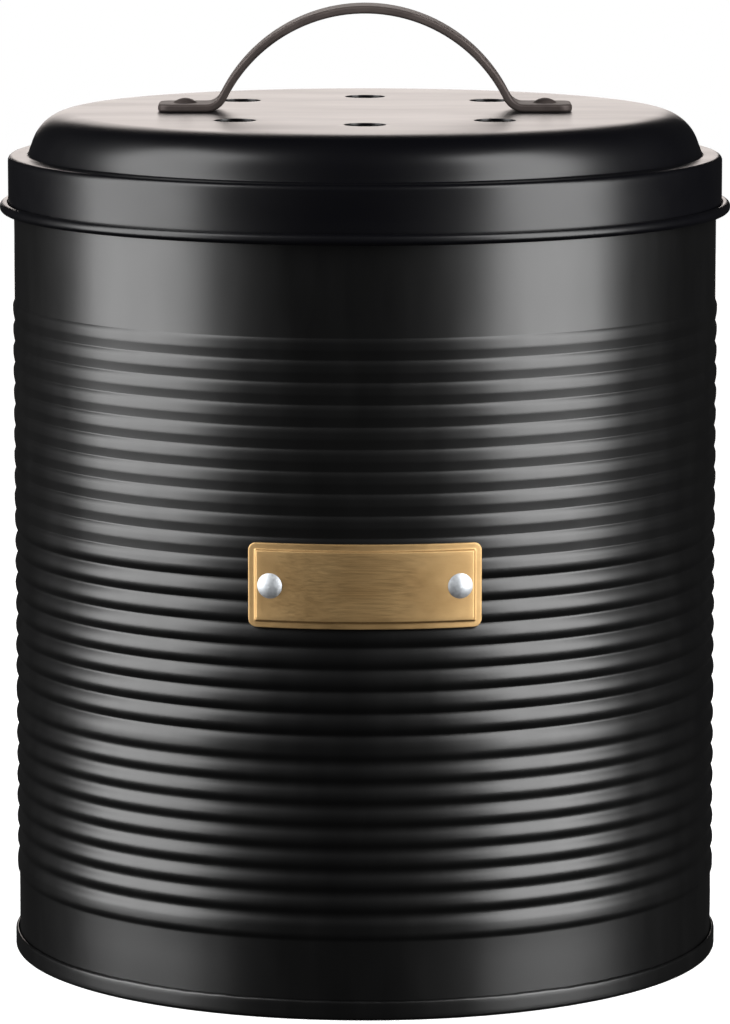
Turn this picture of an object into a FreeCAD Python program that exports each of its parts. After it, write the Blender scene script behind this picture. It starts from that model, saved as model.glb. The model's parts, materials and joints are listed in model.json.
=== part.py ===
import FreeCAD, Part
import math
import os

# Compost bin: a ribbed steel tin with a slip-on vented lid and strap handle, a liner bucket with a
# wire bail, and a charcoal filter in a twist-off holder under the lid.
# Millimetres, +Z up, origin at the centre of the foot ring. The label plate faces -Y.

Vector = FreeCAD.Vector
ORIGIN = Vector(0, 0, 0)
UP = Vector(0, 0, 1)

# Places closer than this count as one
same_place = 0.01

# Sheet steel of the wall, base and lid
sheet = 0.5

# Tin body
body_radius = 82.5          # outside of the plain bands and the rib crests
body_height = 185.5         # foot to the top of the rolled rim
rim_roll_radius = 1.4       # outside radius of the inward roll at the rim
rim_roll_turn = 260.0       # degrees

# Grooves rolled into the wall, in three groups from the bottom up
foot_band = 16.3            # foot to the lowest groove's edge
top_band = 28.34            # highest groove's edge to the top of the rim
low_group_gap = 1.2         # flat land between the low and the middle group
top_group_gap = 0.5         # and between the middle and the top group
low_groove_count = 9
middle_groove_count = 10
top_groove_count = 9
low_groove_depth = 0.6
middle_groove_depth = 0.85
top_groove_depth = 0.5
soft_valley_radius = 2.1
sharp_valley_radius = 0.7   # the middle group is rolled with a narrower wheel

# Base, rolled round the foot of the wall
seam_height = 4.5
seam_width = 2.6
seam_bend_radius = 0.8
seam_clearance = 0.05
panel_height = 3.0          # underside of the base panel above the surface
panel_bend_radius = 1.0
bead_radius = 58.0          # round step that stiffens the panel
bead_rise = 1.4
bead_slope = 45.0           # degrees
bead_bend_radius = 1.2

# Lid
lid_clearance = 0.4         # skirt round the body
lid_seat_gap = 0.2          # shoulder over the bucket's flange
skirt_depth = 12.0          # shoulder to the middle of the curl
lid_corner_radius = 1.3
curl_radius = 1.25
curl_turn = 290.0           # degrees
shoulder_width = 4.2
dome_height = 10.0
dome_lean = 20.0            # degrees from upright
dome_fillet = 10.2
dome_foot_fillet = 0.6
vent_circle = 42.0          # six vents and the two handle rivets share this circle
vent_stations = 8
vent_radius = 4.8

# Strap handle
strap_width = 14.0
strap_thickness = 1.8
strap_edge_radius = 0.6
strap_corner_radius = 3.0
strap_bend_radius = 3.5
handle_rise = 24.7          # lid top to the top of the arch
bend_inset = 5.0            # rivet to the start of the bend
foot_margin = 6.2           # rivet to the end of the foot

# Rivets
rivet_clearance = 0.05
handle_rivet_radius = 1.6
handle_head_radius = 2.75
handle_head_height = 1.1
label_rivet_radius = 1.5
label_head_radius = 2.85
label_head_height = 1.0
tail_margin = 0.8           # tail radius over shank radius
tail_height = 0.8

# Label plate, pressed from thin brass and left bare
label_width = 52.0
label_height = 19.1
label_corner_radius = 1.8
label_rim = 1.2             # flat rim round the raised field
label_rise = 0.6
label_sheet = 0.5
field_edge_radius = 0.4
rim_edge_radius = 0.2
label_gap = 0.1
label_drop = 86.9           # top of the rim to the plate's middle
label_rivet_margin = 4.8    # plate's end to the rivet
tail_room = 0.1             # wall's curve under the rivet's flat tail

# Liner bucket
bucket_wall = 1.6
bucket_seat_gap = 0.2       # flange over the rolled rim
flange_margin = 0.6         # flange inside the body's outside
flange_width = 7.4
bucket_floor_gap = 4.4      # bucket over the base panel
bucket_taper = 2.0          # degrees
bucket_rim_fillet = 2.5
bucket_floor_fillet = 8.0

# Wire bail and the two lugs it turns in
wire_radius = 1.5
bail_overlap = 0.7          # wire centre outside the mouth
bail_rest_gap = 0.3
hook_bend_radius = 2.5
pivot_clearance = 0.06
lug_thickness = 2.4
lug_width = 9.0
lug_root_depth = 9.0
lug_gap = 0.3
pin_overhang = 0.6

# Filter holder, pad and twist-off cover
holder_margin = 10.0        # vent circle to the holder's outside
bore_margin = 12.0          # vent circle to the holder's bore
holder_wall = 1.8
vent_relief = 0.6           # holder holes round the vents
soft_gap = 0.3
pad_thickness = 5.0
pad_edge_radius = 1.5
pad_side_gap = 0.6
cover_thickness = 2.0
cover_clearance = 0.4
bayonet_count = 3
bayonet_lug_angle = 14.0    # degrees
bayonet_twist = 30.0        # degrees from locked to free
bayonet_clearance = 0.3
bayonet_ledge = 1.6
bayonet_reach = 1.4         # lug beyond the cover's edge
slot_width = 3.2
slot_end_radius = 1.45
slot_pitch = 6.4
slot_margin = 6.0           # plain border of the cover
grip_length = 44.0
grip_thickness = 3.2
grip_corner_radius = 1.1
grip_depth = 8.0

# Grooves that follow
groove_count = low_groove_count + middle_groove_count + top_groove_count
groove_height = body_height - foot_band - top_band - low_group_gap - top_group_gap
groove_pitch = groove_height / groove_count

# Heights that follow, from the foot up
wall_foot = seam_bend_radius
bucket_foot = panel_height + bead_rise + sheet + bucket_floor_gap
label_centre = body_height - label_drop
flange_top = body_height + bucket_seat_gap + bucket_wall
shoulder = flange_top + lid_seat_gap + sheet
lid_top = shoulder + dome_height
lid_underside = lid_top - sheet
holder_plate = lid_underside - holder_wall
pad_top = holder_plate - tail_height - soft_gap
cover_top = pad_top - pad_thickness - soft_gap
cover_bottom = cover_top - cover_thickness
pivot_height = flange_top + wire_radius + bail_rest_gap

# Radii that follow
seam_radius = body_radius + seam_clearance + sheet
skirt_radius = body_radius + lid_clearance + sheet
flange_radius = body_radius - flange_margin
mouth_radius = flange_radius - flange_width
valley_inside = body_radius - middle_groove_depth - sheet
label_back = body_radius + label_gap
label_face = label_back + label_rise + label_sheet
bail_radius = mouth_radius + bail_overlap
holder_radius = vent_circle + holder_margin
holder_bore = vent_circle - bore_margin
holder_inside = holder_radius - holder_wall
cover_radius = holder_inside - cover_clearance


class Strip:
    """Section of a sheet in the XZ plane, followed along one face by straight runs and bends.

    The heading is in degrees from +X towards +Z. A left bend is positive, and its radius is on the
    followed face. The thickness lies to the left of the heading (side 1) or to its right (side -1).
    """

    def __init__(self, x, z, heading, thickness, side):
        self.here = Vector(x, 0, z)
        self.heading = heading
        self.offset = side * thickness
        self.near = []
        self.far = []
        self.first = self.pair()

    def direction(self, turn):
        angle = math.radians(self.heading + turn)
        return Vector(math.cos(angle), 0, math.sin(angle))

    def pair(self):
        return self.here, self.here + self.direction(90) * self.offset

    def run(self, length):
        near, far = self.pair()
        self.here = near + self.direction(0) * length
        self.near.append(Part.LineSegment(near, self.here).toShape())
        self.far.append(Part.LineSegment(far, self.pair()[1]).toShape())

    def run_to_x(self, x):
        self.run((x - self.here.x) / self.direction(0).x)

    def run_to_z(self, z):
        self.run((z - self.here.z) / self.direction(0).z)

    def bend(self, turn, radius):
        centre = self.here + self.direction(90) * math.copysign(radius, turn)
        stops = [self.pair()]
        for _ in range(2):
            spoke = self.here - centre
            self.here = centre + turned(spoke, turn / 2)
            self.heading += turn / 2
            stops.append(self.pair())
        for edges, points in zip((self.near, self.far), zip(*stops)):
            edges.append(Part.Arc(*points).toShape())

    def face(self):
        last = self.pair()
        start_cap = Part.LineSegment(self.first[1], self.first[0]).toShape()
        end_cap = Part.LineSegment(last[0], last[1]).toShape()
        return Part.Face(Part.Wire(self.near + [end_cap] + self.far[::-1] + [start_cap]))


def turned(vector, degrees):
    """A vector of the XZ plane turned from +X towards +Z."""
    angle = math.radians(degrees)
    return Vector(
        vector.x * math.cos(angle) - vector.z * math.sin(angle),
        0,
        vector.x * math.sin(angle) + vector.z * math.cos(angle),
    )


def revolved(face, degrees=360):
    return face.revolve(ORIGIN, UP, degrees)


def outline(points):
    """Face of the XZ plane inside straight lines through (x, z) points."""
    corners = [Vector(x, 0, z) for x, z in points]
    return Part.Face(Part.makePolygon(corners + corners[:1]))


def ring_sector(inner, outer, low, high, start, sweep):
    """Part of a ring between two radii and two heights, from a start angle about +Z."""
    section = outline([(inner, low), (outer, low), (outer, high), (inner, high)])
    section.rotate(ORIGIN, UP, start)
    return revolved(section, sweep)


def post(radius, low, high, place):
    """Upright cylinder between two heights at the X and Y of a place."""
    return Part.makeCylinder(radius, high - low, Vector(place.x, place.y, low))


def on_circle(radius, degrees):
    angle = math.radians(degrees)
    return Vector(radius * math.cos(angle), radius * math.sin(angle), 0)


def rounded_plate(width, depth, corner, thickness):
    """Rounded rectangle in the XY plane, centred, standing on z = 0."""
    x = width / 2 - corner
    y = depth / 2 - corner
    edges = []
    for quarter, (cx, cy) in enumerate(((x, y), (-x, y), (-x, -y), (x, -y))):
        centre = Vector(cx, cy, 0)
        arc = [centre + on_circle(corner, 90 * quarter + step) for step in (0, 45, 90)]
        if edges:
            edges.append(Part.LineSegment(edges[-1].lastVertex().Point, arc[0]).toShape())
        edges.append(Part.Arc(*arc).toShape())
    edges.append(Part.LineSegment(arc[2], edges[0].firstVertex().Point).toShape())
    return Part.Face(Part.Wire(edges)).extrude(Vector(0, 0, thickness))


def rivet(shank, head, head_height, grip):
    """Rivet along +Z with a domed head on z = 0 and a flat tail under the grip."""
    dome_radius = (head ** 2 + head_height ** 2) / (2 * head_height)
    dome_centre = head_height - dome_radius
    halfway = Vector(head / 2, 0, dome_centre + math.sqrt(dome_radius ** 2 - (head / 2) ** 2))
    crown = Vector(0, 0, head_height)
    tail = shank + tail_margin
    points = [
        Vector(head, 0, 0),
        Vector(shank, 0, 0),
        Vector(shank, 0, -grip),
        Vector(tail, 0, -grip),
        Vector(tail, 0, -grip - tail_height),
        Vector(0, 0, -grip - tail_height),
        crown,
    ]
    dome = Part.Arc(crown, halfway, points[0]).toShape()
    return revolved(Part.Face(Part.Wire([dome] + Part.makePolygon(points).Edges)))


def vent_places():
    """The stations of the vent circle, without the two that the handle's rivets take."""
    step = 360 / vent_stations
    stations = [on_circle(vent_circle, step * index) for index in range(vent_stations)]
    return [place for place in stations if abs(place.y) > vent_radius]


def handle_rivet_places():
    return [Vector(side * vent_circle, 0, 0) for side in (-1, 1)]


def on_label(shape):
    """Two copies of a shape made along +Z at the label's face, one at each rivet, pointing outwards."""
    offset = label_width / 2 - label_rivet_margin
    swing = math.degrees(math.asin(offset / label_face))
    copies = []
    for side in (-1, 1):
        copy = shape.copy()
        copy.translate(Vector(0, 0, label_face))
        copy.rotate(ORIGIN, Vector(1, 0, 0), 90)
        copy.rotate(ORIGIN, UP, side * swing)
        copy.translate(Vector(0, 0, label_centre))
        copies.append(copy)
    return copies


def label_grip():
    """Label face to the wall's inside, with room for the wall's curve under the tail."""
    return label_face - valley_inside + tail_room


def label_holes():
    depth = label_grip() + label_head_height
    radius = label_rivet_radius + rivet_clearance
    return on_label(Part.makeCylinder(radius, 2 * depth, Vector(0, 0, -depth)))


def body_wall():
    """Wall strip with its grooves of tangent arcs and the rim rolled inwards."""
    strip = Strip(body_radius, wall_foot, 90, sheet, 1)
    strip.run_to_z(foot_band)
    groups = (
        (low_groove_count, low_groove_depth, soft_valley_radius, low_group_gap),
        (middle_groove_count, middle_groove_depth, sharp_valley_radius, top_group_gap),
        (top_groove_count, top_groove_depth, soft_valley_radius, top_band - rim_roll_radius),
    )
    for count, depth, valley, land in groups:
        slope = 2 * math.degrees(math.atan(2 * depth / groove_pitch))
        crest = groove_pitch / 2 / math.sin(math.radians(slope)) - valley
        strip.bend(slope, crest)
        for _ in range(count - 1):
            strip.bend(-2 * slope, valley)
            strip.bend(2 * slope, crest)
        strip.bend(-2 * slope, valley)
        strip.bend(slope, crest)
        strip.run(land)
    strip.bend(rim_roll_turn, rim_roll_radius)
    return revolved(strip.face()).cut(label_holes())


def base_pan():
    """Base panel with a round step, its edge rolled down, under and up round the wall's foot."""
    inner = seam_radius - seam_width
    bend_rise = 2 * bead_bend_radius * (1 - math.cos(math.radians(bead_slope)))
    strip = Strip(seam_radius, seam_height, -90, sheet, -1)
    strip.run_to_z(seam_bend_radius)
    strip.bend(-90, seam_bend_radius)
    strip.run_to_x(inner + seam_bend_radius)
    strip.bend(-90, seam_bend_radius)
    strip.run_to_z(panel_height - panel_bend_radius)
    strip.bend(90, panel_bend_radius)
    strip.run_to_x(bead_radius)
    strip.bend(-bead_slope, bead_bend_radius)
    strip.run((bead_rise - bend_rise) / math.sin(math.radians(bead_slope)))
    strip.bend(bead_slope, bead_bend_radius)
    strip.run_to_x(0)
    return revolved(strip.face())


def lid_shell():
    """Lid from its middle outwards: flat top, rounded dome, shoulder, skirt and outward curl."""
    fall = 90 - dome_lean
    drop = 1 - math.cos(math.radians(fall))
    reach = math.sin(math.radians(fall))
    upright = (dome_height - (dome_fillet + dome_foot_fillet) * drop) / reach
    width = (dome_fillet + dome_foot_fillet) * reach + upright * math.cos(math.radians(fall))
    strip = Strip(0, lid_top, 0, sheet, -1)
    strip.run_to_x(skirt_radius - shoulder_width - width)
    strip.bend(-fall, dome_fillet)
    strip.run(upright)
    strip.bend(fall, dome_foot_fillet)
    strip.run_to_x(skirt_radius - lid_corner_radius)
    strip.bend(-90, lid_corner_radius)
    strip.run_to_z(shoulder - skirt_depth)
    strip.bend(curl_turn, curl_radius - sheet)
    holes = [post(vent_radius, lid_underside, lid_top, place) for place in vent_places()]
    holes += rivet_holes(lid_underside, lid_top)
    return revolved(strip.face()).cut(holes)


def rivet_holes(low, high):
    radius = handle_rivet_radius + rivet_clearance
    return [post(radius, low, high, place) for place in handle_rivet_places()]


def handle_strap():
    """Flat strap bent to two feet and an arch that is one arc, tangent to the bends at its feet."""
    foot = lid_top + strap_thickness
    arch_foot = vent_circle - bend_inset
    drop = strap_thickness + strap_bend_radius - handle_rise
    arch_radius = arch_foot ** 2 + drop ** 2 - strap_bend_radius ** 2
    arch_radius /= 2 * (strap_bend_radius - drop)
    slope = math.degrees(math.asin(arch_foot / (arch_radius + strap_bend_radius)))
    half_span = vent_circle + foot_margin
    strip = Strip(-half_span, foot, 0, strap_thickness, -1)
    strip.run_to_x(-arch_foot)
    strip.bend(slope, strap_bend_radius)
    strip.bend(-2 * slope, arch_radius)
    strip.bend(slope, strap_bend_radius)
    strip.run_to_x(half_span)
    strap = strip.face().extrude(Vector(0, strap_width, 0))
    strap.translate(Vector(0, -strap_width / 2, 0))
    plan = rounded_plate(2 * half_span, strap_width, strap_corner_radius, handle_rise)
    plan.translate(Vector(0, 0, lid_top))
    strap = strap.common(plan)
    rim = [edge for edge in strap.Edges if on_strap_rim(edge, half_span)]
    return strap.makeFillet(strap_edge_radius, rim).cut(rivet_holes(lid_top, foot))


def on_strap_rim(edge, half_span):
    """Whether an edge of the strap runs along its outline, on the upper or the lower face."""
    middle = edge.valueAt((edge.FirstParameter + edge.LastParameter) / 2)
    ends = [vertex.Point for vertex in edge.Vertexes]
    upright = (ends[0] - ends[1]).cross(UP).Length < strap_edge_radius / 2
    at_side = abs(middle.y) > strap_width / 2 - strap_corner_radius
    at_end = abs(middle.x) > half_span - strap_corner_radius
    return (at_side or at_end) and not upright


def handle_rivets():
    grip = strap_thickness + sheet + holder_wall
    rivets = []
    for place in handle_rivet_places():
        piece = rivet(handle_rivet_radius, handle_head_radius, handle_head_height, grip)
        piece.translate(place + UP * (lid_top + strap_thickness))
        rivets.append(piece)
    return Part.makeCompound(rivets)


def wrapped_panel(width, height, corner, inner, outer):
    """Rounded rectangle wrapped on the tin's front, between two radii."""
    plan = rounded_plate(width, height, corner, 2 * outer)
    plan.rotate(ORIGIN, Vector(1, 0, 0), 90)
    ring = Part.makeCylinder(outer, 2 * height).cut(Part.makeCylinder(inner, 2 * height))
    ring.translate(Vector(0, 0, -height))
    panel = plan.common(ring)
    panel.translate(Vector(0, 0, label_centre))
    return panel


def softened(panel, face, radius):
    """Wrapped panel with the edges of its outer face rounded."""
    return panel.makeFillet(radius, [edge for edge in panel.Edges if lies_on(edge, face)])


def lies_on(edge, face):
    """Whether an edge keeps to a face given by its distance from the tin's axis."""
    span = edge.LastParameter - edge.FirstParameter
    points = [edge.valueAt(edge.FirstParameter + span * share) for share in (0, 0.5, 1)]
    return all(abs(math.hypot(point.x, point.y) - face) < same_place for point in points)


def label_plate():
    """Pressed plate: a flat rim, a raised field and the hollow behind the field."""
    field_width = label_width - 2 * label_rim
    field_height = label_height - 2 * label_rim
    hollow_width = field_width - 2 * label_sheet
    hollow_height = field_height - 2 * label_sheet
    rim_face = label_back + label_sheet
    hollow_face = label_back + label_rise
    rim = wrapped_panel(label_width, label_height, label_corner_radius, label_back, rim_face)
    rim = softened(rim, rim_face, rim_edge_radius)
    field = wrapped_panel(field_width, field_height, label_corner_radius, label_back, label_face)
    field = softened(field, label_face, field_edge_radius)
    hollow = wrapped_panel(
        hollow_width, hollow_height, label_corner_radius, label_back - label_sheet, hollow_face
    )
    return rim.fuse(field).cut([hollow] + label_holes()).removeSplitter()


def label_rivets():
    piece = rivet(label_rivet_radius, label_head_radius, label_head_height, label_grip())
    return Part.makeCompound(on_label(piece))


def bucket_lug():
    """Lug at +X that carries the bail's pin, with a sloped root on the bucket's wall."""
    outer = bail_radius - hook_bend_radius - lug_gap
    inner = outer - lug_thickness
    wall = mouth_radius + bucket_wall / 2
    root_foot = flange_top - lug_root_depth
    root = outline([
        (inner, flange_top),
        (wall, flange_top),
        (wall, root_foot - (wall - inner)),
        (inner, root_foot),
    ])
    root = root.extrude(Vector(0, lug_width, 0))
    root.translate(Vector(0, -lug_width / 2, 0))
    along = Vector(1, 0, 0)
    ear = Part.makeCylinder(lug_width / 2, lug_thickness, Vector(inner, 0, pivot_height), along)
    neck_foot = Vector(inner, -lug_width / 2, root_foot)
    neck = Part.makeBox(lug_thickness, lug_width, pivot_height - root_foot, neck_foot)
    bore_radius = wire_radius + pivot_clearance
    bore = Part.makeCylinder(bore_radius, lug_thickness, Vector(inner, 0, pivot_height), along)
    return root.fuse([ear, neck]).cut(bore)


def inner_bucket():
    """Tapered liner with a flange that hangs on the rolled rim, and two lugs for the bail."""
    fall = 90 - bucket_taper
    floor = bucket_foot + bucket_wall
    lean = math.sin(math.radians(bucket_taper))
    strip = Strip(flange_radius, flange_top, 180, bucket_wall, 1)
    strip.run_to_x(mouth_radius + bucket_rim_fillet * math.sin(math.radians(fall)))
    strip.bend(fall, bucket_rim_fillet)
    strip.run_to_z(floor + bucket_floor_fillet * (1 - lean))
    strip.bend(-fall, bucket_floor_fillet)
    strip.run_to_x(0)
    lugs = [bucket_lug(), bucket_lug()]
    lugs[1].rotate(ORIGIN, UP, 180)
    return revolved(strip.face()).fuse(lugs).removeSplitter()


def bucket_bail():
    """Wire half ring lying over the flange's front, its hooked ends pinned in the lugs."""
    turn = math.degrees(math.asin(hook_bend_radius / (bail_radius - hook_bend_radius)))
    hook = (bail_radius - hook_bend_radius) * math.cos(math.radians(turn))
    pin_end = bail_radius - hook_bend_radius - lug_gap - lug_thickness - pin_overhang
    edges = []
    for side in (1, -1):
        centre = Vector(side * hook, -hook_bend_radius, 0)
        spokes = [on_circle(hook_bend_radius, angle) for angle in (90, 45 - turn / 2, -turn)]
        bend = [centre + Vector(side * spoke.x, spoke.y, 0) for spoke in spokes]
        pin = Part.LineSegment(Vector(side * pin_end, 0, 0), bend[0]).toShape()
        hooked = [pin, Part.Arc(*bend).toShape()]
        edges += hooked if side > 0 else hooked[::-1]
        if side > 0:
            front = Vector(0, -bail_radius, 0)
            across = Vector(-bend[2].x, bend[2].y, 0)
            edges.append(Part.Arc(bend[2], front, across).toShape())
    section = Part.Wire(Part.makeCircle(wire_radius, Vector(pin_end, 0, 0), Vector(1, 0, 0)))
    bail = Part.Wire(edges).makePipeShell([section], True, False)
    bail.translate(Vector(0, 0, pivot_height))
    return bail


def lug_starts():
    """Angles at which the bayonet lugs start when the cover is locked."""
    return [360 / bayonet_count * index for index in range(bayonet_count)]


def filter_holder():
    """Shallow cup under the lid: vented plate, skirt, and bayonet slots with their entry notches."""
    low = cover_bottom - bayonet_clearance
    high = cover_top + bayonet_clearance
    foot = low - bayonet_ledge
    section = outline([
        (holder_bore, lid_underside),
        (holder_radius, lid_underside),
        (holder_radius, foot),
        (holder_inside, foot),
        (holder_inside, holder_plate),
        (holder_bore, holder_plate),
    ])
    cuts = [post(vent_radius + vent_relief, holder_plate, lid_underside, p) for p in vent_places()]
    cuts += rivet_holes(holder_plate, lid_underside)
    play = math.degrees(bayonet_clearance / holder_inside)
    lug = bayonet_lug_angle + 2 * play
    inner = holder_inside - cover_clearance
    outer = holder_radius + cover_clearance
    for start in lug_starts():
        freed = start - bayonet_twist - play
        cuts.append(ring_sector(inner, outer, low, high, freed, lug + bayonet_twist))
        cuts.append(ring_sector(inner, outer, foot, high, freed, lug))
    return revolved(section).cut(cuts)


def filter_pad():
    """Charcoal felt disc with softly rounded edges."""
    radius = holder_inside - pad_side_gap
    disc = Part.makeCylinder(radius, pad_thickness, Vector(0, 0, pad_top - pad_thickness))
    rims = [edge for edge in disc.Edges if edge.Closed]
    return disc.makeFillet(pad_edge_radius, rims)


def filter_cover():
    """Slotted disc with bayonet lugs on its edge and a finger grip across its underside."""
    cover = Part.makeCylinder(cover_radius, cover_thickness, Vector(0, 0, cover_bottom))
    inner = cover_radius - bayonet_reach
    outer = cover_radius + bayonet_reach
    lugs = [
        ring_sector(inner, outer, cover_bottom, cover_top, start, bayonet_lug_angle)
        for start in lug_starts()
    ]
    grip = rounded_plate(grip_thickness, grip_length, grip_corner_radius, grip_depth)
    grip.translate(Vector(0, 0, cover_bottom - grip_depth))
    field = cover_radius - slot_margin
    slots = []
    for index in range(1, int(field / slot_pitch) + 1):
        offset = index * slot_pitch
        length = 2 * math.sqrt(field ** 2 - offset ** 2)
        if length > 2 * slot_width:
            for side in (-1, 1):
                slot = rounded_plate(slot_width, length, slot_end_radius, cover_thickness)
                slot.translate(Vector(side * offset, 0, cover_bottom))
                slots.append(slot)
    return cover.fuse(lugs + [grip]).cut(slots).removeSplitter()


NODES = (
    body_wall,
    base_pan,
    label_plate,
    label_rivets,
    inner_bucket,
    bucket_bail,
    lid_shell,
    handle_strap,
    handle_rivets,
    filter_holder,
    filter_pad,
    filter_cover,
)

os.makedirs("parts", exist_ok=True)
for node in NODES:
    shape = node()
    shape.exportStep("parts/" + node.__name__ + ".step")
    solids = len(shape.Solids)
    print(node.__name__, shape.isValid(), solids, "solids", round(shape.Volume, 1), "mm3")
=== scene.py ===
import json
import math

import bmesh
import bpy
import numpy as np
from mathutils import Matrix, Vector


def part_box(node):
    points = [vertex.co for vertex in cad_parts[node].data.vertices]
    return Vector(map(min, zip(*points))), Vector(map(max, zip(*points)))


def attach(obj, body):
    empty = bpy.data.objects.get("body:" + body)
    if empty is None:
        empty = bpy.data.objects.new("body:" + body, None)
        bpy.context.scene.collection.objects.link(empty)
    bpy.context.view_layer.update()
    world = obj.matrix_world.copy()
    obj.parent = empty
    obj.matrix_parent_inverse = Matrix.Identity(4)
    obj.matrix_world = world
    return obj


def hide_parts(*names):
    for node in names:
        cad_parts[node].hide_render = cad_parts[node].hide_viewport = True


# Compost bin dressed for its picture. The frame holds the solids; the ribbed wall, the rolled seam, the vented
# lid, the brass plate and the felt are laid over them as surfaces worked out here.
# Metres and degrees, +Z up, plate towards -Y.

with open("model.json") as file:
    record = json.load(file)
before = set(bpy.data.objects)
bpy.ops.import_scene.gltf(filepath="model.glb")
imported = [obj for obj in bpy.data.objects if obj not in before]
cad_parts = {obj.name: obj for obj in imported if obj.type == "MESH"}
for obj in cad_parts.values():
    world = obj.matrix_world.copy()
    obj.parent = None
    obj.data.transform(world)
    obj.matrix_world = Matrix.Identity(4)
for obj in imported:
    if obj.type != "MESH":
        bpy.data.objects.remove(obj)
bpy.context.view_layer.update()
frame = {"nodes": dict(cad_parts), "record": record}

mm = 0.001

# Places read from the frame
wall_low, wall_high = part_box("body_wall")
base_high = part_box("base_pan")[1]
lid_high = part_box("lid_shell")[1]
label_low, label_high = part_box("label_plate")
pad_low, pad_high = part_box("filter_pad")

# Meshes
weld_distance = 0.002 * mm
crisp_turn = 40                # edges that turn more stay crisp

# Unevenness: whole numbers of waves round the axis, and the most radians in a metre along it
coarse_waves = np.arange(2, 18)
fine_waves = np.arange(7, 160, 3)
steepest_wave = 400

# Sheet steel
sheet = 0.5 * mm

# Ribbed wall
body_radius = wall_high.x
wall_foot = wall_low.z
body_height = wall_high.z
foot_band = 16.3 * mm          # foot to the first pitch of the ribs
foot_inset = 0.45 * mm         # foot band inside the ribs' crests
foot_step = 17.7 * mm          # foot to the underside of the lowest rib
top_band = 28.79 * mm          # last pitch of the ribs to the top of the rim
rim_roll_radius = 1.4 * mm
rim_roll_turn = 260
groove_groups = (  # from below: grooves, their depth, their valley's radius, flat land over them
    (8, 0.6 * mm, 2.1 * mm, 1.2 * mm),
    (8, 0.8 * mm, 0.75 * mm, 0.05 * mm),
)
top_grooves = 10               # the highest grooves lean: short flanks below, long undersides above
top_depth = 0.42 * mm
top_flank = 33                 # from upright
top_underside = 11             # from upright
top_valley_radius = 0.5 * mm
top_crest_radius = 4 * mm
wall_columns = 128
wall_waviness = 0.02 * mm
wall_seed = 1

# Base panel and its seam
seam_radius = base_high.x
seam_height = 4.5 * mm
seam_width = 2.6 * mm
seam_bend_radius = 0.8 * mm
hem_radius = 0.55 * mm         # rounding of the seam's upper edge
panel_height = 3.0 * mm
panel_bend_radius = 1.0 * mm
bead_radius = 58 * mm
bead_rise = 1.4 * mm
bead_slope = 45
bead_bend_radius = 1.2 * mm
seam_columns = 640
seam_unevenness = 0.05 * mm
seam_seed = 9

# Lid
lid_top = lid_high.z
curl_radius = 1.25 * mm
curl_turn = 290
skirt_radius = lid_high.x - 2 * curl_radius + sheet
skirt_depth = 12 * mm
lid_corner_radius = 1.3 * mm
shoulder_width = 4.2 * mm
dome_height = 10 * mm
dome_lean = 20
dome_fillet = 10.2 * mm
dome_foot_fillet = 0.6 * mm
vent_circle = 42 * mm
vent_stations = 8              # six vents and the handle's two rivet holes
vent_radius = 4.8 * mm
vent_edge = 0.08 * mm          # rounding left by the punch
handle_hole_radius = 1.65 * mm
station_reach = 12 * mm        # vent circle to the borders of the ring that holds the stations
station_columns = 20           # points along one station's arc
station_rows = np.array([0.0, 0.12, 0.3, 0.6, 1.0])  # shares of the way from a hole to its border
ring_inner = vent_circle - station_reach
ring_outer = vent_circle + station_reach

# Brass plate
label_half_width = label_high.x
label_back = math.hypot(label_high.y, label_half_width)
label_half_height = (label_high.z - label_low.z) / 2
label_centre = (label_high.z + label_low.z) / 2
label_front = -label_low.y
label_sheet = 0.5 * mm
label_rim = 1.2 * mm
label_corner_radius = 1.8 * mm
field_slope = 75               # of the pressed step
field_edge_radius = 0.4 * mm
rim_edge_radius = 0.2 * mm
label_side_steps = 24

# Felt pad
felt_swell = 0.12 * mm         # room left for its lumps
felt_lump = felt_swell / 4
felt_crowding = 6              # its lumps are this many times closer along the radius than a sheet's waves
felt_rim_power = 12
felt_face_power = 4
felt_columns = 160
felt_seed = 5

# Finishes: most of a noise lies between these two
noise_low = 0.3
noise_high = 0.7

# Studio
floor_radius = 1.6
floor_rows = 9
floor_columns = 96
softbox_distance = 0.9
softbox_height = 0.68          # of its middle
softbox_length = 1.62
softboxes = (  # name, degrees from the camera's side towards the right, width, radiance
    ("left_softbox", -75, 0.74, 7.0),
    ("right_softbox", 60, 0.64, 8.5),
)
backdrop_place = (-0.06, 1.7, 0.6)
backdrop_target = (0, 0, 0.5)
backdrop_width = 0.7
backdrop_height = 0.86
backdrop_radiance = 2.3
backdrop_colour = (1.0, 0.91, 0.865)
room_glow = 0.012              # what the bin gets from the room
room_white = 1.0               # what the camera sees of it

# Camera, fitted to the photograph: the lens is for a 36 mm sensor along the long side of the picture
camera_elevation = 8.5
camera_distance = 1.352
camera_target = Vector((0, 0, 0.1031))
camera_lens = 201.4


def straight(length, steps=1):
    """Straight run of a section, as (length, turn, steps)."""
    return length, 0.0, steps


def bend(degrees, radius, steps):
    """Round bend of a section, as (length, turn, steps). A left turn is positive."""
    turn = math.radians(degrees)
    return abs(turn) * radius, turn, steps


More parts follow.
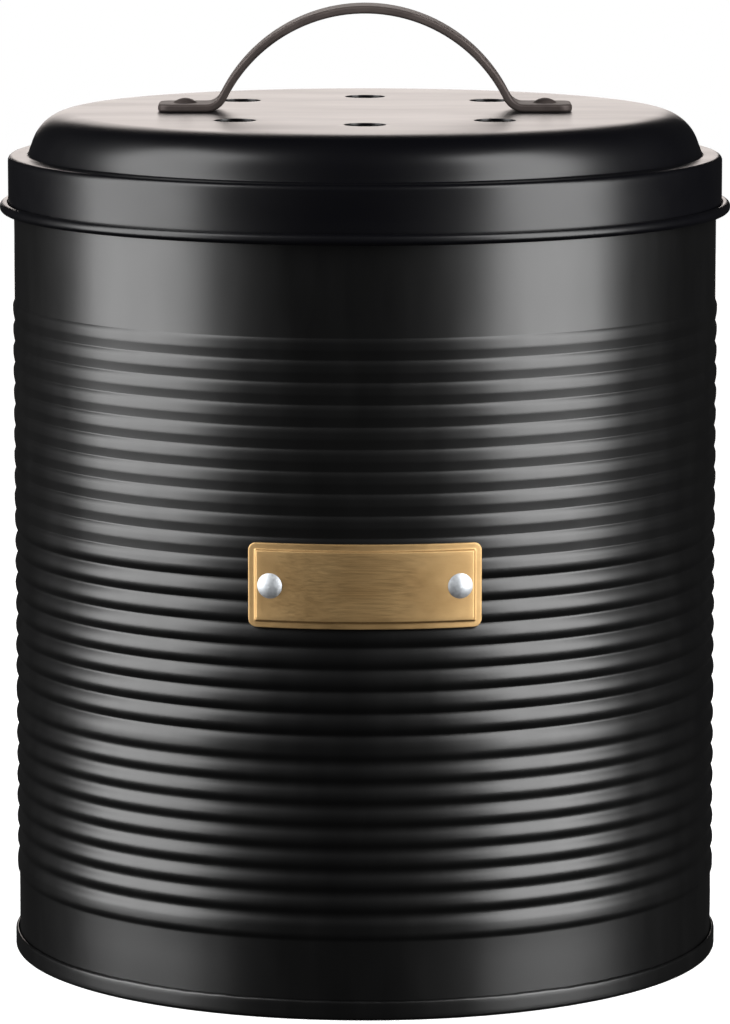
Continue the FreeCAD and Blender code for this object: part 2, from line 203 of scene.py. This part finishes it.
def sheet_section(start, heading, runs, thickness):
    """Both faces of a bent sheet as two lists of (radius, height) points.

    The heading changes evenly along each run, so the chord of one step points along the heading at the
    step's middle, and is the step's length times the sine of half its turn over half its turn. The chords
    add up to the followed face. The other face lies the thickness to its left, or right if negative.
    """
    length, turn, steps = np.array(runs).T
    steps = steps.astype(int)
    step_length = np.repeat(length / steps, steps)
    step_turn = np.repeat(turn / steps, steps)
    at_points = math.radians(heading) + np.concatenate([[0], np.cumsum(step_turn)])
    at_middles = at_points[1:] - step_turn / 2
    chord = step_length * np.sinc(step_turn / (2 * np.pi))
    walk = np.cumsum(chord[:, None] * np.stack([np.cos(at_middles), np.sin(at_middles)], 1), axis=0)
    face = np.array(start) + np.concatenate([[[0, 0]], walk])
    left = np.stack([-np.sin(at_points), np.cos(at_points)], 1)
    return face, face + thickness * left


def ring_angles(columns):
    """Angles of a turned grid's columns, in radians."""
    return np.arange(columns) * (2 * np.pi / columns)


def waves(angle, height, size, around, seed):
    """Slight unevenness: a sum of cosines, each with a whole number of waves round the axis and its own
    wavelength along it, weaker the finer it is."""
    draw = np.random.default_rng(seed)
    along = draw.uniform(-steepest_wave, steepest_wave, around.size)
    phase = draw.uniform(0, 2 * np.pi, around.size)
    weight = around ** -0.5
    total = sum(w * np.cos(n * angle + k * height + p) for n, k, p, w in zip(around, along, phase, weight))
    return size * total


def turned_grid(section, columns, unevenness=0.0):
    """Section turned round the upright axis: each (radius, height) point goes round a circle of its radius,
    and the unevenness is added to that radius."""
    angle = ring_angles(columns)
    radius = section[:, :1] + unevenness
    height = section[:, 1:]
    return np.stack([radius * np.cos(angle), radius * np.sin(angle), height + 0 * angle], -1)


def grid_faces(shape, closed_rows, closed_columns):
    """Corner numbers of the quads between neighbouring rows and columns of a grid of points."""
    rows, columns = shape
    row = np.arange(rows if closed_rows else rows - 1)[:, None]
    column = np.arange(columns if closed_columns else columns - 1)[None, :]
    next_row = (row + 1) % rows
    next_column = (column + 1) % columns
    corners = (
        row * columns + column,
        next_row * columns + column,
        next_row * columns + next_column,
        row * columns + next_column,
    )
    return np.stack(np.broadcast_arrays(*corners), -1).reshape(-1, 4)


def add_object(name, data):
    """Object at the origin, linked to the scene."""
    added = bpy.data.objects.new(name, data)
    bpy.context.scene.collection.objects.link(added)
    return added


def make_piece(name, grids, body, slot, node):
    """Piece from grids given as (points, closed_rows, closed_columns). Their borders are welded, the faces
    point outwards, and edges turning more than the crisp turn stay crisp."""
    points = []
    faces = []
    count = 0
    for grid, closed_rows, closed_columns in grids:
        faces.append(grid_faces(grid.shape[:2], closed_rows, closed_columns) + count)
        points.append(grid.reshape(-1, 3))
        count += len(points[-1])
    mesh = bpy.data.meshes.new(name)
    mesh.from_pydata(np.concatenate(points).tolist(), [], np.concatenate(faces).tolist())
    weld = bmesh.new()
    weld.from_mesh(mesh)
    bmesh.ops.remove_doubles(weld, verts=weld.verts, dist=weld_distance)
    bmesh.ops.recalc_face_normals(weld, faces=weld.faces)
    weld.to_mesh(mesh)
    weld.free()
    mesh.shade_smooth()
    mesh.set_sharp_from_angle(angle=math.radians(crisp_turn))
    mesh.materials.append(finishes[slot])
    piece = add_object(name, mesh)
    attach(piece, body)
    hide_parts(node)
    return piece


def leaning_groove():
    """Both sides of a leaning groove as runs of the section, each with its height.

    The flank turns in along a crest arc and back along the valley arc. Their radii add up to the depth over
    one less the flank's cosine. The underside comes out along the rest of the valley arc, a straight run and
    a crest arc, and the run makes up what the arcs leave of the depth. That rest of the valley arc isn't
    among the runs given.
    """
    flank_angle = math.radians(top_flank)
    under_angle = math.radians(top_underside)
    flank_reach = top_depth / (1 - math.cos(flank_angle))
    flank = [
        bend(top_flank, flank_reach - top_valley_radius, 5),
        bend(-top_flank, top_valley_radius, 5),
    ]
    under_reach = top_valley_radius + top_crest_radius
    run = (top_depth - under_reach * (1 - math.cos(under_angle))) / math.sin(under_angle)
    underside = [straight(run), bend(top_underside, top_crest_radius, 3)]
    underside_height = under_reach * math.sin(under_angle) + run * math.cos(under_angle)
    return flank, flank_reach * math.sin(flank_angle), underside, underside_height


def wall_grids():
    """Ribbed wall: foot band, three groups of grooves of tangent arcs, top band and rolled rim, turned round.

    A groove leaves the wall along a crest arc, turns back through twice its slope in the valley and returns
    along another crest arc. The slope follows from the depth and the pitch, and the two radii add up to
    half the pitch over the sine of the slope. Under the lowest rib, in place of a whole groove, the foot
    band rises to the crests in a valley arc and a crest arc, which turn by the angle whose cosine is one
    less the band's inset over the sum of the radii. The highest grooves lean, and over them the last rib
    falls to the top band along a leaning groove's flank.
    """
    count = top_grooves + sum(number for number, _, _, _ in groove_groups) + 2  # a pitch for each band's step
    lands = sum(land for _, _, _, land in groove_groups)
    pitch = (body_height - top_band - foot_band - lands) / count
    _, low_depth, low_valley, _ = groove_groups[0]
    low_reach = pitch / 2 / math.sin(2 * math.atan(2 * low_depth / pitch))
    under = math.acos(1 - foot_inset / low_reach)
    runs = [
        straight(foot_step - wall_foot, 3),
        bend(-math.degrees(under), low_valley, 5),
        bend(math.degrees(under), low_reach - low_valley, 4),
        straight(foot_band + pitch - foot_step - low_reach * math.sin(under)),
    ]
    for number, depth, valley, land in groove_groups:
        slope = 2 * math.atan(2 * depth / pitch)
        turn = math.degrees(slope)
        crest = bend(turn, pitch / 2 / math.sin(slope) - valley, 3)
        runs += [crest, bend(-2 * turn, valley, 5), crest] * number
        runs.append(straight(land))
    flank, flank_height, underside, underside_height = leaning_groove()
    crest = straight(pitch - flank_height - underside_height)
    whole_valley = bend(-top_flank - top_underside, top_valley_radius, 5)
    runs += [crest, flank[0], whole_valley, *underside] * top_grooves
    runs += [crest, *flank]
    runs.append(straight(underside_height + top_band - rim_roll_radius, 4))
    runs.append(bend(rim_roll_turn, rim_roll_radius, 14))
    outside, inside = sheet_section((body_radius - foot_inset, wall_foot), 90, runs, sheet)
    section = np.concatenate([outside, inside[::-1]])
    uneven = waves(ring_angles(wall_columns), section[:, 1:], wall_waviness, coarse_waves, wall_seed)
    return [(turned_grid(section, wall_columns, uneven), True, True)]


def seam_grids():
    """Base panel with its round step, the edge rolled down, under and up round the wall's foot, turned round.

    The coat leaves the seam's upper edge uneven: waves round the axis are added to the height there, in
    full at the edge and fading to nothing over twice the edge's rounding.
    """
    inner = seam_radius - seam_width
    slope = math.radians(bead_slope)
    bead_run = (bead_rise - 2 * bead_bend_radius * (1 - math.cos(slope))) / math.sin(slope)
    bead_width = 2 * bead_bend_radius * math.sin(slope) + bead_run * math.cos(slope)
    runs = [
        bend(-90, hem_radius, 6),
        straight(seam_height - hem_radius - seam_bend_radius, 4),
        bend(-90, seam_bend_radius, 6),
        straight(seam_width - 2 * seam_bend_radius),
        bend(-90, seam_bend_radius, 6),
        straight(panel_height - panel_bend_radius - seam_bend_radius),
        bend(90, panel_bend_radius, 5),
        straight(inner - panel_bend_radius - bead_radius, 2),
        bend(-bead_slope, bead_bend_radius, 4),
        straight(bead_run),
        bend(bead_slope, bead_bend_radius, 4),
        straight(bead_radius - bead_width, 3),
    ]
    under, over = sheet_section((seam_radius - hem_radius, seam_height), 0, runs, -sheet)
    section = np.concatenate([under[::-1], over])
    grid = turned_grid(section, seam_columns)
    drips = waves(ring_angles(seam_columns), 0.0, seam_unevenness, fine_waves, seam_seed)
    at_seam = section[:, :1] > inner + seam_width / 2
    fade = np.clip((section[:, 1:] - seam_height + 2 * hem_radius) / (2 * hem_radius), 0, 1)
    grid[..., 2] += drips * fade * at_seam
    return [(grid, False, True)]


def station_border(middle):
    """Border of one vent station, a closed loop on a ring cut into equal sectors: its inner arc, one side,
    its outer arc and the other side, each walked at even steps."""
    half = np.pi / vent_stations
    along = np.linspace(-half, half, station_columns + 1)[:-1]
    across = np.linspace(ring_inner, ring_outer, station_columns // 2 + 1)[:-1]
    side = np.full_like(across, half)
    inner_arc = np.full_like(along, ring_inner)
    outer_arc = np.full_like(along, ring_outer)
    angle = np.concatenate([along, side, -along, -side]) + middle
    radius = np.concatenate([inner_arc, across, outer_arc, ring_inner + ring_outer - across])
    return np.stack([radius * np.cos(angle), radius * np.sin(angle)], -1)


def station_grid(middle, hole_radius):
    """One hole and the sheet round it: rows run from the border under the lid to the hole, up its wall, over
    its rounded edge and back to the border on top. A row is the blend of the hole's circle, each point of it
    straight in line with its border point, and the border."""
    centre = vent_circle * np.array([math.cos(middle), math.sin(middle)])
    border = station_border(middle)
    spoke = border - centre
    direction = spoke / np.linalg.norm(spoke, axis=1, keepdims=True)
    below = station_rows[::-1]
    above = station_rows[1:]
    quarter = np.linspace(0, np.pi / 2, 4)
    edge_out = vent_edge * (1 - np.cos(quarter))
    edge_drop = vent_edge * (1 - np.sin(quarter))
    blend = np.concatenate([below, 0 * quarter, above])
    outset = np.concatenate([0 * below, edge_out, vent_edge + 0 * above])
    height = np.concatenate([lid_top - sheet + 0 * below, lid_top - edge_drop, lid_top + 0 * above])
    hole = centre + direction * (hole_radius + outset)[:, None, None]
    plan = hole + blend[:, None, None] * (border - hole)
    return np.concatenate([plan, np.broadcast_to(height[:, None, None], plan.shape[:2] + (1,))], -1)


def lid_grids():
    """Vented lid: a middle disc, the ring of stations with their holes, and the dome, shoulder, skirt and
    curl turned round. Both faces of the sheet are there, joined at the holes and at the curl's end."""
    columns = vent_stations * station_columns
    fall = 90 - dome_lean
    drop = 1 - math.cos(math.radians(fall))
    reach = math.sin(math.radians(fall))
    upright = (dome_height - (dome_fillet + dome_foot_fillet) * drop) / reach
    width = (dome_fillet + dome_foot_fillet) * reach + upright * math.cos(math.radians(fall))
    runs = [
        straight(skirt_radius - shoulder_width - width - ring_outer, 4),
        bend(-fall, dome_fillet, 16),
        straight(upright, 2),
        bend(fall, dome_foot_fillet, 6),
        straight(shoulder_width - lid_corner_radius, 3),
        bend(-90, lid_corner_radius, 7),
        straight(skirt_depth - lid_corner_radius, 6),
        bend(curl_turn, curl_radius - sheet, 16),
    ]
    upper, lower = sheet_section((ring_outer, lid_top), 0, runs, -sheet)
    grids = [turned_grid(np.concatenate([upper, lower[::-1]]), columns)]
    radius = np.linspace(0, ring_inner, 7)
    for height in (lid_top, lid_top - sheet):
        grids.append(turned_grid(np.stack([radius, np.full_like(radius, height)], 1), columns))
    for number in range(vent_stations):
        under_handle = number % (vent_stations // 2) == 0
        hole_radius = handle_hole_radius if under_handle else vent_radius
        grids.append(station_grid(number * 2 * np.pi / vent_stations, hole_radius))
    return [(grid, False, True) for grid in grids]


def label_outline(inset):
    """Rounded rectangle drawn in by an inset, as closed loops of (across, up) points, one per inset.

    The corners' centres stay and their radius shrinks by the inset until it is nothing; past that the
    centres move in as well, down to a line along the plate's middle.
    """
    inset = inset[:, None]
    radius = np.maximum(label_corner_radius - inset, 0)
    half_width = np.maximum(label_half_width - inset - radius, 0)
    half_height = np.maximum(label_half_height - inset - radius, 0)
    quarter = np.linspace(0, np.pi / 2, 6)
    side = np.linspace(0, 1, label_side_steps + 1)[1:-1]
    across = []
    up = []
    for number, (sx, sz) in enumerate(((1, 1), (-1, 1), (-1, -1), (1, -1))):
        angle = quarter + number * np.pi / 2
        across.append(sx * half_width + radius * np.cos(angle))
        up.append(sz * half_height + radius * np.sin(angle))
        if number % 2:
            across.append(sx * (half_width + radius) + 0 * side)
            up.append(sz * half_height * (1 - 2 * side))
        else:
            across.append(sx * half_width * (1 - 2 * side))
            up.append(sz * (half_height + radius) + 0 * side)
    return np.concatenate(across, 1), np.concatenate(up, 1)


def label_grids():
    """Pressed plate: a section of inset and height goes round the plate's outline, and the plate is wrapped on
    the wall, so that a point at a height stands that far out from the plate's back.

    The section follows the back from the plate's middle to the outer edge, then the front over the flat rim,
    up the pressed step and across the field to the middle again.
    """
    rise = label_front - label_back - label_sheet
    slope = math.radians(field_slope)
    step_run = max(rise - 2 * field_edge_radius * (1 - math.cos(slope)), 0) / math.sin(slope)
    runs = [
        bend(-90, rim_edge_radius, 5),
        straight(label_rim - rim_edge_radius, 3),
        bend(field_slope, field_edge_radius, 6),
        straight(step_run),
        bend(-field_slope, field_edge_radius, 6),
        straight(label_half_height, 10),
    ]
    front, _ = sheet_section((0, label_sheet - rim_edge_radius), 90, runs, label_sheet)
    front[:, 0] = np.clip(front[:, 0], 0, label_half_height)
    back = np.stack([front[:, 0], np.maximum(front[:, 1] - label_sheet, 0)], 1)
    section = np.concatenate([back[::-1], front])
    across, up = label_outline(section[:, 0])
    radius = label_back + section[:, 1:]
    depth = np.sqrt(radius ** 2 - across ** 2)
    return [(np.stack([across, -depth, up + label_centre], -1), False, True)]


def felt_grids():
    """Felt disc: a flat-sided oval section, height to the fourth power against radius to the twelfth, turned
    round and made a little lumpy by waves that are added to its height and fade towards the middle."""
    radius = pad_high.x
    half = (pad_high.z - pad_low.z) / 2
    middle = (pad_high.z + pad_low.z) / 2
    sweep = np.linspace(-np.pi / 2, np.pi / 2, 49)
    out = np.cos(sweep) ** (2 / felt_rim_power)
    up = np.sign(np.sin(sweep)) * np.abs(np.sin(sweep)) ** (2 / felt_face_power)
    out[[0, -1]] = 0
    section = np.stack([(radius - 2 * felt_swell) * out, middle + (half - felt_swell) * up], 1)
    grid = turned_grid(section, felt_columns)
    from_axis = section[:, :1]
    lumps = waves(ring_angles(felt_columns), felt_crowding * from_axis, felt_lump, coarse_waves, felt_seed)
    grid[..., 2] += lumps * np.clip(from_axis / radius, 0, 1)
    return [(grid, False, True)]


def set_inputs(tree, node, inputs):
    """Inputs of a shader node, each either linked or set."""
    for name, value in inputs.items():
        if isinstance(value, bpy.types.NodeSocket):
            tree.links.new(value, node.inputs[name])
        else:
            node.inputs[name].default_value = value


def add_node(tree, kind, inputs):
    """Shader node with its inputs."""
    added = tree.nodes.new(kind)
    set_inputs(tree, added, inputs)
    return added


def grain(tree, size, stretch=(1, 1, 1), detail=3.0, roughness=0.55):
    """Noise on the object, with grains of about one size, drawn out along an axis by a stretch above one."""
    place = add_node(tree, "ShaderNodeTexCoord", {}).outputs["Object"]
    scale = tuple(1 / factor for factor in stretch)
    mapped = add_node(tree, "ShaderNodeMapping", {"Vector": place, "Scale": scale}).outputs[0]
    inputs = {"Vector": mapped, "Scale": 1 / size, "Detail": detail, "Roughness": roughness}
    return add_node(tree, "ShaderNodeTexNoise", inputs).outputs["Fac"]


def between(tree, value, low, high):
    """Noise spread evenly from a low to a high number."""
    limits = {"Value": value, "From Min": noise_low, "From Max": noise_high, "To Min": low, "To Max": high}
    return add_node(tree, "ShaderNodeMapRange", limits).outputs["Result"]


def two_tones(tree, value, dark, light):
    """Noise spread from a dark to a light tone."""
    ramp = add_node(tree, "ShaderNodeValToRGB", {"Fac": value})
    for stop, position, tone in zip(ramp.color_ramp.elements, (noise_low, noise_high), (dark, light)):
        stop.position = position
        stop.color = (*tone, 1)
    return ramp.outputs["Color"]


def relief(tree, layers):
    """Bump of several noises given as (noise, height in metres), laid one over the other."""
    normal = None
    for value, height in layers:
        inputs = {"Height": value, "Distance": height, "Strength": 1.0}
        if normal:
            inputs["Normal"] = normal
        normal = add_node(tree, "ShaderNodeBump", inputs).outputs["Normal"]
    return normal


def make_finish(fill):
    """Material named after a function that gives its shader's inputs from its node tree."""
    material = bpy.data.materials.new(fill.__name__)
    material.use_nodes = True
    tree = material.node_tree
    set_inputs(tree, tree.nodes["Principled BSDF"], fill(tree))
    return material


def tin_coat(tree):
    """Satin black powder coat: fine orange peel and a slightly uneven sheen."""
    sheen = grain(tree, 9 * mm, stretch=(1, 1, 4))
    return {
        "Base Color": two_tones(tree, grain(tree, 30 * mm), (0.0013, 0.0013, 0.0014), (0.0018, 0.0018, 0.0018)),
        "Roughness": between(tree, sheen, 0.30, 0.35),
        "Normal": relief(tree, [(grain(tree, 0.9 * mm, detail=2), 0.004 * mm)]),
    }


def lid_coat(tree):
    """The same coat on the lid, smoother and a touch bluer."""
    sheen = grain(tree, 12 * mm, stretch=(4, 1, 1))
    return {
        "Base Color": two_tones(tree, grain(tree, 30 * mm), (0.0008, 0.0008, 0.0015), (0.0011, 0.0011, 0.0019)),
        "Roughness": between(tree, sheen, 0.29, 0.33),
        "Specular IOR Level": 0.36,
        "Normal": relief(tree, [(grain(tree, 0.9 * mm, detail=2), 0.003 * mm)]),
    }


def handle_bronze(tree):
    """Dark bronze plating with a fine satin grain along the strap."""
    brush = grain(tree, 0.8 * mm, stretch=(12, 1, 12), detail=2)
    return {
        "Base Color": two_tones(tree, grain(tree, 6 * mm), (0.052, 0.041, 0.038), (0.078, 0.063, 0.058)),
        "Metallic": 0.5,
        "Roughness": between(tree, brush, 0.5, 0.62),
        "Specular IOR Level": 0.3,
        "Normal": relief(tree, [(brush, 0.0004 * mm)]),
    }


def brushed_brass(tree):
    """Brushed brass: lines along the plate, and a slight tarnish in patches."""
    brush = grain(tree, 0.35 * mm, stretch=(40, 1, 1), detail=4)
    patches = grain(tree, 5 * mm, stretch=(2, 1, 1))
    return {
        "Base Color": two_tones(tree, patches, (0.40, 0.255, 0.113), (0.49, 0.325, 0.152)),
        "Metallic": 1.0,
        "Roughness": between(tree, brush, 0.46, 0.56),
        "Normal": relief(tree, [(brush, 0.005 * mm), (patches, 0.012 * mm)]),
    }


def plain_aluminium(tree):
    """Plain aluminium with the fine marks of the rivet set."""
    marks = grain(tree, 0.6 * mm, detail=5)
    return {
        "Base Color": two_tones(tree, marks, (0.50, 0.525, 0.55), (0.60, 0.625, 0.65)),
        "Metallic": 1.0,
        "Roughness": between(tree, marks, 0.52, 0.64),
        "Normal": relief(tree, [(marks, 0.012 * mm)]),
    }


def bucket_plastic(tree):
    """Moulded grey plastic with a fine spark-eroded grain."""
    spark = grain(tree, 0.5 * mm, detail=2)
    return {
        "Base Color": two_tones(tree, grain(tree, 25 * mm), (0.115, 0.118, 0.12), (0.13, 0.133, 0.135)),
        "Roughness": between(tree, spark, 0.42, 0.55),
        "Normal": relief(tree, [(spark, 0.012 * mm)]),
    }


def drawn_wire(tree):
    """Drawn steel wire with faint lines."""
    lines = grain(tree, 0.4 * mm, stretch=(6, 6, 1), detail=4)
    return {
        "Base Color": two_tones(tree, lines, (0.52, 0.52, 0.51), (0.62, 0.62, 0.61)),
        "Metallic": 1.0,
        "Roughness": between(tree, lines, 0.24, 0.36),
        "Normal": relief(tree, [(lines, 0.004 * mm)]),
    }


def filter_plastic(tree):
    """Moulded black plastic with a matt grain."""
    spark = grain(tree, 0.6 * mm, detail=2)
    return {
        "Base Color": two_tones(tree, grain(tree, 20 * mm), (0.014, 0.014, 0.014), (0.02, 0.02, 0.02)),
        "Roughness": between(tree, spark, 0.48, 0.62),
        "Normal": relief(tree, [(spark, 0.015 * mm)]),
    }


def charcoal_felt(tree):
    """Charcoal felt: tangled fibres with specks of carbon."""
    fibres = grain(tree, 0.7 * mm, detail=6, roughness=0.7)
    specks = grain(tree, 0.3 * mm, detail=1)
    return {
        "Base Color": two_tones(tree, fibres, (0.008, 0.008, 0.009), (0.035, 0.035, 0.036)),
        "Roughness": between(tree, specks, 0.85, 1.0),
        "Sheen Weight": 0.3,
        "Sheen Roughness": 0.5,
        "Normal": relief(tree, [(fibres, 0.25 * mm), (specks, 0.05 * mm)]),
    }


def pale_floor(tree):
    """Plain pale studio floor with a faint mottle."""
    mottle = grain(tree, 50 * mm)
    return {
        "Base Color": two_tones(tree, mottle, (0.86, 0.86, 0.86), (0.88, 0.88, 0.88)),
        "Roughness": between(tree, mottle, 0.7, 0.8),
        "Emission Color": (1, 1, 1, 1),
        "Emission Strength": 0.6,
    }


def add_floor():
    """Round floor: circles of growing radius about the bin's foot. It lights and shades nothing."""
    radius = np.linspace(0, floor_radius, floor_rows)
    grid = turned_grid(np.stack([radius, 0 * radius], 1), floor_columns)
    faces = grid_faces(grid.shape[:2], False, True)[:, ::-1]
    mesh = bpy.data.meshes.new("floor")
    mesh.from_pydata(grid.reshape(-1, 3).tolist(), [], faces.tolist())
    mesh.materials.append(make_finish(pale_floor))
    floor = add_object("floor", mesh)
    floor.visible_glossy = False
    floor.visible_diffuse = False
    floor.visible_shadow = False


def turn_towards(added, direction):
    """Lamp or camera turned to look along a direction, with its top up."""
    added.rotation_euler = direction.to_track_quat("-Z", "Y").to_euler()


def add_softbox(name, place, target, width, height, radiance, colour=(1, 1, 1)):
    """Even rectangular light. Its power is the radiance times pi times its area."""
    lamp = bpy.data.lights.new(name, "AREA")
    lamp.shape = "RECTANGLE"
    lamp.size = width
    lamp.size_y = height
    lamp.energy = radiance * math.pi * width * height
    lamp.color = colour
    box = add_object(name, lamp)
    box.location = place
    turn_towards(box, Vector(target) - Vector(place))
    box.visible_camera = False


def add_lights():
    """Upright softboxes left and right of the camera, and a warm pale one behind the bin."""
    for name, degrees, width, radiance in softboxes:
        angle = math.radians(degrees)
        place = (softbox_distance * math.sin(angle), -softbox_distance * math.cos(angle), softbox_height)
        add_softbox(name, place, (0, 0, softbox_height), width, softbox_length, radiance)
    add_softbox(
        "backdrop", backdrop_place, backdrop_target, backdrop_width, backdrop_height, backdrop_radiance,
        backdrop_colour,
    )


def add_room():
    """Room that is white to the camera and dim to the bin, shown without a film look."""
    world = bpy.data.worlds.new("studio")
    world.use_nodes = True
    bpy.context.scene.world = world
    tree = world.node_tree
    tree.nodes.clear()
    dim = add_node(tree, "ShaderNodeBackground", {"Color": (1, 1, 1, 1), "Strength": room_glow})
    white = add_node(tree, "ShaderNodeBackground", {"Color": (1, 1, 1, 1), "Strength": room_white})
    seen = add_node(tree, "ShaderNodeLightPath", {}).outputs["Is Camera Ray"]
    room = add_node(tree, "ShaderNodeMixShader", {0: seen, 1: dim.outputs[0], 2: white.outputs[0]})
    add_node(tree, "ShaderNodeOutputWorld", {"Surface": room.outputs[0]})
    bpy.context.scene.view_settings.view_transform = "Standard"


def add_camera():
    """Camera in front of the bin, looking a little down at it."""
    lens = bpy.data.cameras.new("camera")
    lens.lens = camera_lens
    camera = add_object("camera", lens)
    angle = math.radians(camera_elevation)
    away = Vector((0, -math.cos(angle), math.sin(angle)))
    camera.location = camera_target + camera_distance * away
    turn_towards(camera, -away)
    bpy.context.scene.camera = camera


finishes = {
    "tin_black": make_finish(tin_coat),
    "lid_black": make_finish(lid_coat),
    "handle_bronze": make_finish(handle_bronze),
    "label_brass": make_finish(brushed_brass),
    "rivet_aluminium": make_finish(plain_aluminium),
    "bucket_plastic": make_finish(bucket_plastic),
    "bail_wire": make_finish(drawn_wire),
    "filter_plastic": make_finish(filter_plastic),
    "filter_felt": make_finish(charcoal_felt),
}

for part in frame["record"]["subparts"]:
    mesh = frame["nodes"][part["node"]].data
    mesh.materials.clear()
    mesh.materials.append(finishes[part["material_slot"]])

make_piece("ribbed_wall", wall_grids(), "bin", "tin_black", "body_wall")
make_piece("rolled_seam", seam_grids(), "bin", "tin_black", "base_pan")
make_piece("vented_lid", lid_grids(), "lid", "lid_black", "lid_shell")
make_piece("brass_plate", label_grids(), "bin", "label_brass", "label_plate")
felt = make_piece("felt_pad", felt_grids(), "lid", "filter_felt", "filter_pad")

add_floor()
add_lights()
add_room()
add_camera()
